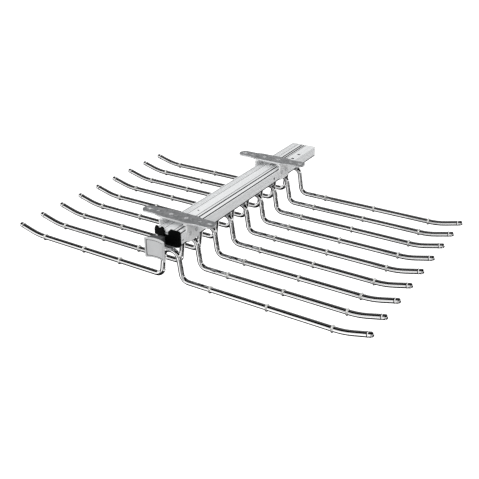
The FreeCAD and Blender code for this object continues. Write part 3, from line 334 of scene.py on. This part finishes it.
@dataclass(frozen=True)
class ZincPlate(Finish):
    """Zinc-plated pressed steel: grey metal with the soft mottle of its crystals."""

    colour: str = "9b9c9e"
    crystal_colour: str = "b9babc"
    # Real zinc crystals here are a few tenths of a millimetre, so they are coarser to show at all.
    crystal_mm: float = 2.2
    grains_per_crystal: float = 3.0
    grain_strength: float = 0.15
    grain_depth_mm: float = 0.04
    metallic: float = 0.8
    roughness: tuple[float, float] = (0.30, 0.46)
    # Painted highlight on the sheared edges and on the walls of the holes.
    sheared_highlight_colour: str = "f0f1f2"
    sheared_from_mm: float = 0.0
    sheared_to_mm: float = 0.0

    def sheared_highlight_share(self, tree: bpy.types.NodeTree, place: bpy.types.Node) -> bpy.types.NodeSocket:
        """Tell the sheared edges of a plate and its holes, which get a painted highlight, from its
        two faces.

        Args:
            tree: the material's node tree.
            place: the texture coordinate node.

        Returns:
            A socket that is 1 between the two heights and 0 above and below them.
        """
        axes = add_node(tree, "ShaderNodeSeparateXYZ", {"Vector": place.outputs["Object"]})
        below = add_node(tree, "ShaderNodeMath", {
            0: axes.outputs["Z"], 1: self.sheared_from_mm * MM}, operation="LESS_THAN")
        above = add_node(tree, "ShaderNodeMath", {
            0: axes.outputs["Z"], 1: self.sheared_to_mm * MM}, operation="GREATER_THAN")
        share = add_node(tree, "ShaderNodeMath", {
            0: below.outputs[0], 1: above.outputs[0]}, operation="MULTIPLY")
        return share.outputs[0]

    def shade(self, tree: bpy.types.NodeTree) -> bpy.types.Node:
        """Mottled grey metal, each crystal with its own tone and gloss.

        Args:
            tree: the material's empty node tree.

        Returns:
            The principled shader.
        """
        place = add_node(tree, "ShaderNodeTexCoord")
        crystals = add_node(tree, "ShaderNodeTexVoronoi", {
            "Vector": place.outputs["Object"], "Scale": waves_per_metre(self.crystal_mm)})
        tone = add_node(tree, "ShaderNodeSeparateColor", {"Color": crystals.outputs["Color"]})
        faces = add_node(tree, "ShaderNodeMix", {
            "Factor": tone.outputs["Red"],
            "A": linear(self.colour), "B": linear(self.crystal_colour)}, data_type="RGBA")
        colour = add_node(tree, "ShaderNodeMix", {
            "Factor": self.sheared_highlight_share(tree, place),
            "A": faces.outputs["Result"], "B": linear(self.sheared_highlight_colour)}, data_type="RGBA")
        gloss = add_node(tree, "ShaderNodeMapRange", {
            "Value": tone.outputs["Green"],
            "To Min": self.roughness[0], "To Max": self.roughness[1]})
        grain = add_node(tree, "ShaderNodeTexNoise", {
            "Vector": place.outputs["Object"],
            "Scale": waves_per_metre(self.crystal_mm / self.grains_per_crystal), "Detail": 2.0})
        bump = add_node(tree, "ShaderNodeBump", {
            "Height": grain.outputs["Fac"], "Strength": self.grain_strength,
            "Distance": self.grain_depth_mm * MM})
        return add_node(tree, "ShaderNodeBsdfPrincipled", {
            "Base Color": colour.outputs["Result"], "Metallic": self.metallic,
            "Roughness": gloss.outputs["Result"], "Normal": bump.outputs["Normal"]})


@dataclass(frozen=True)
class MouldedPlastic(Finish):
    """Injection-moulded plastic with the fine spark texture of its mould."""

    colour: str = "1a1a1b"
    worn_colour: str = "242426"
    # A real spark texture is about 0.05 mm, so it is drawn ten times as coarse to show at all.
    spark_mm: float = 0.5
    patch_mm: float = 9.0
    patch_range: tuple[float, float] = (0.3, 0.7)
    roughness: tuple[float, float] = (0.38, 0.5)
    relief: float = 0.2
    relief_depth_mm: float = 0.05
    ior: float = 1.5
    shine: float = 0.5

    def shade(self, tree: bpy.types.NodeTree) -> bpy.types.Node:
        """Even plastic with a fine grain and slight patches from handling.

        Args:
            tree: the material's empty node tree.

        Returns:
            The principled shader.
        """
        place = add_node(tree, "ShaderNodeTexCoord")
        patches = add_node(tree, "ShaderNodeTexNoise", {
            "Vector": place.outputs["Object"], "Scale": waves_per_metre(self.patch_mm),
            "Detail": 2.0})
        colour = add_node(tree, "ShaderNodeMix", {
            "Factor": patches.outputs["Fac"],
            "A": linear(self.colour), "B": linear(self.worn_colour)}, data_type="RGBA")
        gloss = add_node(tree, "ShaderNodeMapRange", {
            "Value": patches.outputs["Fac"],
            "From Min": self.patch_range[0], "From Max": self.patch_range[1],
            "To Min": self.roughness[0], "To Max": self.roughness[1]})
        sparks = add_node(tree, "ShaderNodeTexNoise", {
            "Vector": place.outputs["Object"], "Scale": waves_per_metre(self.spark_mm),
            "Detail": 1.0})
        bump = add_node(tree, "ShaderNodeBump", {
            "Height": sparks.outputs["Fac"], "Strength": self.relief,
            "Distance": self.relief_depth_mm * MM})
        return add_node(tree, "ShaderNodeBsdfPrincipled", {
            "Base Color": colour.outputs["Result"],
            "IOR": self.ior, "Specular IOR Level": self.shine,
            "Roughness": gloss.outputs["Result"], "Normal": bump.outputs["Normal"]})


@dataclass(frozen=True)
class LinedPlastic(MouldedPlastic):
    """Satin moulded plastic whose fine line sunk inside the rim of its curved face is darkened with
    painted shade.
    """

    # The line colour is painted shade in the sunk groove.
    line_colour: str = "1c1c1d"
    curve_axis_mm: tuple[float, float, float] = (0.0, -218.23, 0.0)
    line_radius_mm: float = 35.0
    line_half_depth_mm: float = 0.55
    half_width_mm: float = 14.2
    middle_height_mm: float = -27.25
    half_height_mm: float = 12.45

    def shade(self, tree: bpy.types.NodeTree) -> bpy.types.Node:
        """Paint shade into the sunk line, found by its distance from the axis that the face curves
        about.

        Args:
            tree: the material's empty node tree.

        Returns:
            The principled shader.
        """
        shader = super().shade(tree)
        place = add_node(tree, "ShaderNodeTexCoord")
        axes = add_node(tree, "ShaderNodeSeparateXYZ", {"Vector": place.outputs["Object"]})
        # The axis is upright, so the height drops out of the distance.
        level = add_node(tree, "ShaderNodeVectorMath", {
            0: place.outputs["Object"], 1: (1.0, 1.0, 0.0)}, operation="MULTIPLY")
        radius = add_node(tree, "ShaderNodeVectorMath", {
            0: level.outputs[0], 1: Vector(self.curve_axis_mm) * MM}, operation="DISTANCE")
        sunk = add_node(tree, "ShaderNodeMath", {
            0: radius.outputs["Value"],
            1: self.line_radius_mm * MM, 2: self.line_half_depth_mm * MM}, operation="COMPARE")
        beside = add_node(tree, "ShaderNodeMath", {
            0: axes.outputs["X"], 1: 0.0, 2: self.half_width_mm * MM}, operation="COMPARE")
        between = add_node(tree, "ShaderNodeMath", {
            0: axes.outputs["Z"],
            1: self.middle_height_mm * MM, 2: self.half_height_mm * MM}, operation="COMPARE")
        framed = add_node(tree, "ShaderNodeMath", {
            0: beside.outputs[0], 1: between.outputs[0]}, operation="MULTIPLY")
        share = add_node(tree, "ShaderNodeMath", {
            0: sunk.outputs[0], 1: framed.outputs[0]}, operation="MULTIPLY")
        # Painted shade: the sunk line inside the rim goes dark.
        plain = shader.inputs["Base Color"].links[0].from_socket
        lined = add_node(tree, "ShaderNodeMix", {
            "Factor": share.outputs[0], "A": plain, "B": linear(self.line_colour)},
            data_type="RGBA")
        tree.links.new(lined.outputs["Result"], shader.inputs["Base Color"])
        return shader


@dataclass(frozen=True)
class ClearRubber(Finish):
    """Soft clear rubber, milky white, with painted shade that darkens it towards the bottom."""

    colour: str = "f6f6f4"
    cloud_colour: str = "e6e6e4"
    # Painted shade on the lower part of the ring.
    underside_shade_colour: str = "3c3c3c"
    cloud_mm: float = 2.5
    cloud_strength: float = 0.1
    cloud_depth_mm: float = 0.05
    axis_mm: float = -88.05
    darkest_below_mm: float = -3.0
    unshaded_above_mm: float = 1.5
    ior: float = 1.43
    roughness: float = 0.12
    clearness: float = 0.6

    def shade(self, tree: bpy.types.NodeTree) -> bpy.types.Node:
        """Cloudy rubber that lets a little of the tube's shine through, darkened towards the bottom
        by painted shade.

        Args:
            tree: the material's empty node tree.

        Returns:
            The principled shader.
        """
        place = add_node(tree, "ShaderNodeTexCoord")
        cloud = add_node(tree, "ShaderNodeTexNoise", {
            "Vector": place.outputs["Object"], "Scale": waves_per_metre(self.cloud_mm),
            "Detail": 2.0})
        milky = add_node(tree, "ShaderNodeMix", {
            "Factor": cloud.outputs["Fac"],
            "A": linear(self.colour), "B": linear(self.cloud_colour)}, data_type="RGBA")
        axes = add_node(tree, "ShaderNodeSeparateXYZ", {"Vector": place.outputs["Object"]})
        # Painted shade: the colour darkens towards the bottom of the ring.
        shade_fade = add_node(tree, "ShaderNodeMapRange", {
            "Value": axes.outputs["Z"],
            "From Min": (self.axis_mm + self.darkest_below_mm) * MM,
            "From Max": (self.axis_mm + self.unshaded_above_mm) * MM})
        colour = add_node(tree, "ShaderNodeMix", {
            "Factor": shade_fade.outputs["Result"],
            "A": linear(self.underside_shade_colour), "B": milky.outputs["Result"]}, data_type="RGBA")
        bump = add_node(tree, "ShaderNodeBump", {
            "Height": cloud.outputs["Fac"], "Strength": self.cloud_strength,
            "Distance": self.cloud_depth_mm * MM})
        return add_node(tree, "ShaderNodeBsdfPrincipled", {
            "Base Color": colour.outputs["Result"], "IOR": self.ior, "Roughness": self.roughness,
            "Transmission Weight": self.clearness, "Normal": bump.outputs["Normal"]})


class Surface(Enum):
    """The finishes of the rack's pieces."""

    # Chrome over a polished tube is a clear mirror, so it shows the studio as black and white bands.
    TUBE = PolishedChrome("chrome plated steel, polished")
    # A turned plug has painted shade on the seam where it meets the tube, a painted highlight on its
    # ring, and a mirror dome.
    TIP = CappedChrome("chrome plated plug, turned and polished")
    # An anodised extrusion is pale and satin, with soft lines along it, and near black painted shade
    # in its grooves, channel and foot.
    RAIL = AnodisedAluminium(
        "anodised aluminium, extruded and grooved", groove_within_mm=21.7, groove_below_mm=-12.5,
        groove_behind_mm=-154.0, foot_shade_below_mm=-27.5, shallow_left_of_mm=-8.0)
    # The inner extrusion is the same satin metal without grooves, painted a little greyer as shade,
    # because it lies in the rail's shade.
    CARRIAGE = AnodisedAluminium("anodised aluminium, extruded", "dee0e2", "cdd0d2")
    # Pressed and plated steel is mid grey with a faint mottle, with a painted highlight along its
    # sheared edges and in its holes.
    BRACKET = ZincPlate(
        "zinc plated steel, pressed", "989a9c", "bcbdbf", crystal_mm=3.5, metallic=0.6,
        sheared_from_mm=-0.2, sheared_to_mm=-2.3)
    # Thin folded strip keeps a pale, even coat of zinc with only a hint of crystals.
    SADDLE = ZincPlate(
        "zinc plated strip, folded", "e4e5e6", "fafafa", crystal_mm=3.0, metallic=0.1)
    # Drawn bar is smoother than sheet, so its zinc looks more like clean light metal.
    CARRIER = ZincPlate("zinc plated flat bar, drawn", "c2c3c5", "d6d7d9", metallic=0.85)
    # A rivet's pale colour is a painted highlight for the glints on its flared rim, so it is a light
    # dot on the darker plate.
    RIVET = ZincPlate(
        "zinc plated rivet, flared", "c6c7c8", "d8d9da", crystal_mm=1.0, metallic=0.2)
    # Headed screws and pins have plain grey plating.
    FASTENER = ZincPlate("zinc plated fastener, headed", "a9aaac", "c4c5c7", crystal_mm=1.0)
    # Ground bearing steel is a softer, greyer mirror than chrome.
    BALL = PolishedChrome(
        "bearing steel, ground", "c9cacc", (0.1, 0.18), haze_mm=2.0, ripple_mm=1.0)
    # Nylon from an eroded mould is a dull, deep black that hardly shines.
    BLACK = MouldedPlastic(
        "black nylon, moulded", "030303", "050505", roughness=(0.55, 0.66), shine=0.12)
    # Grey ABS has a soft satin shine over a fine grain.
    GREY = MouldedPlastic("dark grey ABS, moulded", "4a4b4d", "545557")
    # Silver ABS is smooth and pale, and the sunk line inside its rim is darkened with painted shade.
    SILVER = LinedPlastic("silver grey ABS, satin moulded", "cacbcc", "d0d1d2", relief=0.08)
    # Undyed nylon is a slightly warm white.
    WHITE = MouldedPlastic("white nylon, moulded", "e4e4e2", "dadad8")
    # Natural acetal is a waxy off-white.
    CAGE = MouldedPlastic("natural acetal, moulded", "d9d6cc", "cfccc2")
    # Clear rubber is a light, milky band, with painted shade making it darker towards the bottom.
    RING = ClearRubber("clear rubber, moulded")


class Wardrobe:
    """Every finish as a material, built once."""

    def __init__(self) -> None:
        """Build the materials."""
        self.materials = {surface: surface.value.build() for surface in Surface}

    def dress(self, node: str, surface: Surface) -> None:
        """Give a CAD node its finish.

        Args:
            node: the node's name.
            surface: the finish.
        """
        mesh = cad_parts[node].data
        mesh.materials.clear()
        mesh.materials.append(self.materials[surface])
        log.info("%s: %s", node, surface.value.name)


@dataclass
class FixedPart:
    """The rail and the brackets that hold it under a shelf."""

    wardrobe: Wardrobe

    def build(self) -> None:
        """Dress the fixed pieces."""
        self.wardrobe.dress("fixed_rail", Surface.RAIL)
        self.wardrobe.dress("rear_end_cap", Surface.WHITE)
        for end in ("front", "rear"):
            self.wardrobe.dress(f"{end}_bracket_plate", Surface.BRACKET)
            self.wardrobe.dress(f"{end}_saddle", Surface.SADDLE)
        for node in ("plate_rivets", "saddle_rivets"):
            self.wardrobe.dress(node, Surface.RIVET)
        self.wardrobe.dress("rail_stop_screws", Surface.FASTENER)


@dataclass
class BallGuide:
    """The caged balls between the rail and the carriage."""

    wardrobe: Wardrobe

    def build(self) -> None:
        """Dress the cages and the balls."""
        for side in ("left", "right"):
            self.wardrobe.dress(f"{side}_ball_cage", Surface.CAGE)
            self.wardrobe.dress(f"{side}_balls", Surface.BALL)


@dataclass
class PullOutRack:
    """The carriage with its handle and the trouser bars."""

    wardrobe: Wardrobe

    def build(self) -> None:
        """Dress everything that pulls out."""
        self.wardrobe.dress("carriage", Surface.CARRIAGE)
        self.wardrobe.dress("bar_carrier", Surface.CARRIER)
        for node in ("carriage_stop_pins", "carrier_screws", "handle_screw"):
            self.wardrobe.dress(node, Surface.FASTENER)
        for side in ("left", "right"):
            self.wardrobe.dress(f"{side}_end_cap", Surface.BLACK)
        self.wardrobe.dress("handle_body", Surface.GREY)
        self.wardrobe.dress("handle_plate", Surface.SILVER)
        for number in BAR_NUMBERS:
            self.wardrobe.dress(f"trouser_bar_{number}", Surface.TUBE)
            self.wardrobe.dress(f"grip_rings_{number}", Surface.RING)
            self.wardrobe.dress(f"tip_caps_{number}", Surface.TIP)


@dataclass(frozen=True)
class SoftLamp:
    """A large soft lamp aimed at the rack."""

    name: str
    place: tuple[float, float, float]
    size: float
    level: float
    shows_in_metal: bool = False

    def build(self, target: Vector) -> None:
        """Hang the lamp and aim it.

        Args:
            target: the point that it faces.
        """
        data = bpy.data.lights.new(self.name, "AREA")
        data.shape = "SQUARE"
        data.size = self.size
        aim = target - Vector(self.place)
        # At this energy a white surface that faces the lamp renders at the lamp's level.
        data.energy = self.level * math.pi ** 2 * aim.length_squared
        lamp = bpy.data.objects.new(self.name, data)
        lamp.location = self.place
        lamp.rotation_euler = aim.to_track_quat("-Z", "Y").to_euler()
        lamp.visible_glossy = self.shows_in_metal
        bpy.context.scene.collection.objects.link(lamp)


class Facing(Enum):
    """How a studio card hangs, as its turn about X, Y and Z."""

    LEVEL = (0.0, 0.0, 0.0)
    FRONT = (math.pi / 2, 0.0, 0.0)
    SIDE = (math.pi / 2, 0.0, math.pi / 2)


@dataclass(frozen=True)
class StudioCard:
    """A black or grey studio card that only shiny pieces see, for the dark bands on the tubes."""

    name: str
    centre: tuple[float, float, float]
    size: tuple[float, float]
    tone: str
    facing: Facing = Facing.LEVEL

    def build(self) -> None:
        """Hang the card, hidden from the camera and from the light."""
        bpy.ops.object.select_all(action="DESELECT")
        bpy.ops.mesh.primitive_plane_add(
            size=1.0, location=self.centre, rotation=self.facing.value)
        card = bpy.context.object
        card.name = self.name
        card.scale = (*self.size, 1.0)
        material = bare_material("matt paper card")
        tree = material.node_tree
        paper = add_node(tree, "ShaderNodeEmission", {"Color": linear(self.tone), "Strength": 1.0})
        add_node(tree, "ShaderNodeOutputMaterial", {"Surface": paper.outputs[0]})
        card.data.materials.append(material)
        card.visible_camera = False
        card.visible_diffuse = False
        card.visible_shadow = False
        card.visible_transmission = False


@dataclass
class Studio:
    """The pale floor, the soft light and the camera of the photograph."""

    floor_height: float = -0.75
    floor_size: float = 24.0
    floor_colour: str = "c0c0c0"
    ambient: float = 0.65
    target: tuple[float, float, float] = (0.0, 0.03, -0.06)
    lamps: tuple[SoftLamp, ...] = (
        SoftLamp("key_lamp", (-0.9, -1.5, 1.5), 1.4, 0.48),
        SoftLamp("fill_lamp", (1.6, -0.6, 1.0), 1.2, 0.18),
    )
    cards: tuple[StudioCard, ...] = (
        StudioCard("front_card", (0.0, -1.15, 1.0), (5.2, 1.9), "020202"),
        StudioCard("left_ceiling_card", (-1.55, 0.9, 1.0), (2.1, 2.2), "4c4c4c"),
        StudioCard("mid_ceiling_card", (-0.15, 0.9, 1.0), (0.7, 2.2), "505050"),
        StudioCard("right_ceiling_card", (1.4, 0.9, 1.0), (2.4, 2.2), "050505"),
        StudioCard("rear_card", (-1.3, 2.6, 0.13), (3.6, 1.74), "8c8c8c", Facing.FRONT),
        StudioCard("right_card", (2.0, 0.1, -0.2), (2.2, 1.06), "050505", Facing.SIDE),
        StudioCard("left_card", (-2.9, 0.0, -0.36), (2.6, 0.74), "404040", Facing.SIDE),
        StudioCard("low_card", (-0.325, -0.175, -0.74), (1.55, 1.55), "202020"),
        StudioCard("left_front_floor_card", (-0.85, -1.1, -0.74), (0.5, 0.3), "202020"),
        StudioCard("far_left_floor_card", (-1.35, -1.45, -0.74), (0.5, 1.0), "b0b0b0"),
        StudioCard("rear_floor_card", (-0.5, 1.4, -0.74), (1.2, 1.6), "303030"),
        StudioCard("left_floor_card", (-1.65, 0.1, -0.74), (1.1, 2.2), "101010"),
        StudioCard("right_floor_card", (1.6, 0.575, -0.74), (2.0, 2.65), "202020"),
        StudioCard("front_floor_card", (1.475, -1.475, -0.74), (2.85, 1.45), "909090"),
        StudioCard("front_right_card", (1.2, -2.2, -0.15), (3.4, 1.2), "a0a0a0", Facing.FRONT),
    )

    def build(self) -> None:
        """Set up the whole studio."""
        self.build_floor()
        self.build_world()
        for lamp in self.lamps:
            lamp.build(Vector(self.target))
        for card in self.cards:
            card.build()
        PhotoCamera().build()
        bpy.context.scene.view_settings.view_transform = "Standard"

    def seen_directly(self, tree: bpy.types.NodeTree) -> bpy.types.NodeSocket:
        """Tell camera, mirror and glass rays from the light that falls on things.

        Args:
            tree: the node tree that asks.

        Returns:
            A socket that is 1 for rays that show the background and 0 for the others.
        """
        path = add_node(tree, "ShaderNodeLightPath")
        mirror = add_node(tree, "ShaderNodeMath", {
            0: path.outputs["Is Camera Ray"], 1: path.outputs["Is Glossy Ray"]},
            operation="MAXIMUM")
        glass = add_node(tree, "ShaderNodeMath", {
            0: mirror.outputs[0], 1: path.outputs["Is Transmission Ray"]}, operation="MAXIMUM")
        return glass.outputs[0]

    def build_floor(self) -> None:
        """Lay a plain pale floor well below the rack, which shows as white."""
        bpy.ops.object.select_all(action="DESELECT")
        bpy.ops.mesh.primitive_plane_add(
            size=self.floor_size, location=(0, 0, self.floor_height))
        floor = bpy.context.object
        floor.name = "studio_floor"
        material = bare_material("white painted floor")
        tree = material.node_tree
        paint = add_node(tree, "ShaderNodeBsdfDiffuse", {"Color": linear(self.floor_colour)})
        glow = add_node(tree, "ShaderNodeEmission", {
            "Color": linear(PURE_WHITE), "Strength": self.seen_directly(tree)})
        both = add_node(tree, "ShaderNodeAddShader", {0: paint.outputs[0], 1: glow.outputs[0]})
        add_node(tree, "ShaderNodeOutputMaterial", {"Surface": both.outputs[0]})
        floor.data.materials.append(material)

    def build_world(self) -> None:
        """Surround the rack with white that metal shows too, and a plain level of soft light."""
        world = bpy.data.worlds.new("white studio")
        world.use_nodes = True
        bpy.context.scene.world = world
        tree = world.node_tree
        tree.nodes.clear()
        soft = add_node(tree, "ShaderNodeBackground", {
            "Color": linear(PURE_WHITE), "Strength": self.ambient})
        white = add_node(tree, "ShaderNodeBackground", {
            "Color": linear(PURE_WHITE), "Strength": 1.0})
        shown = add_node(tree, "ShaderNodeMixShader", {
            0: self.seen_directly(tree), 1: soft.outputs[0], 2: white.outputs[0]})
        add_node(tree, "ShaderNodeOutputWorld", {"Surface": shown.outputs[0]})


@dataclass(frozen=True)
class PhotoCamera:
    """The camera of the photograph, from the lines of the bars and the rail."""

    place: tuple[float, float, float] = (0.5657, -0.8631, 0.43485)
    azimuth_deg: float = 32.394
    elevation_deg: float = 25.357
    roll_deg: float = -0.830
    sensor_mm: float = 36.0
    lens_mm: float = 55.066
    shift: tuple[float, float] = (-0.0003, -0.0482)

    def build(self) -> None:
        """Place the camera and make it the scene's own."""
        azimuth = math.radians(self.azimuth_deg)
        elevation = math.radians(self.elevation_deg)
        roll = math.radians(self.roll_deg)
        back = Vector((math.sin(azimuth) * math.cos(elevation),
                       -math.cos(azimuth) * math.cos(elevation), math.sin(elevation)))
        level = Vector((math.cos(azimuth), math.sin(azimuth), 0.0))
        upright = back.cross(level)
        right = level * math.cos(roll) + upright * math.sin(roll)
        up = upright * math.cos(roll) - level * math.sin(roll)
        data = bpy.data.cameras.new("photo_camera")
        data.sensor_width = self.sensor_mm
        data.lens = self.lens_mm
        data.shift_x, data.shift_y = self.shift
        camera = bpy.data.objects.new("photo_camera", data)
        turn = Matrix((right, up, back)).transposed().to_4x4()
        camera.matrix_world = Matrix.Translation(self.place) @ turn
        bpy.context.scene.collection.objects.link(camera)
        bpy.context.scene.camera = camera


def main() -> None:
    """Dress the rack, sub-assembly by sub-assembly, and set up the studio."""
    logging.basicConfig(level=logging.INFO, format="%(name)s %(message)s")
    wardrobe = Wardrobe()
    for assembly in (FixedPart(wardrobe), BallGuide(wardrobe), PullOutRack(wardrobe)):
        assembly.build()
    Studio().build()


if __name__ == "__main__":
    main()
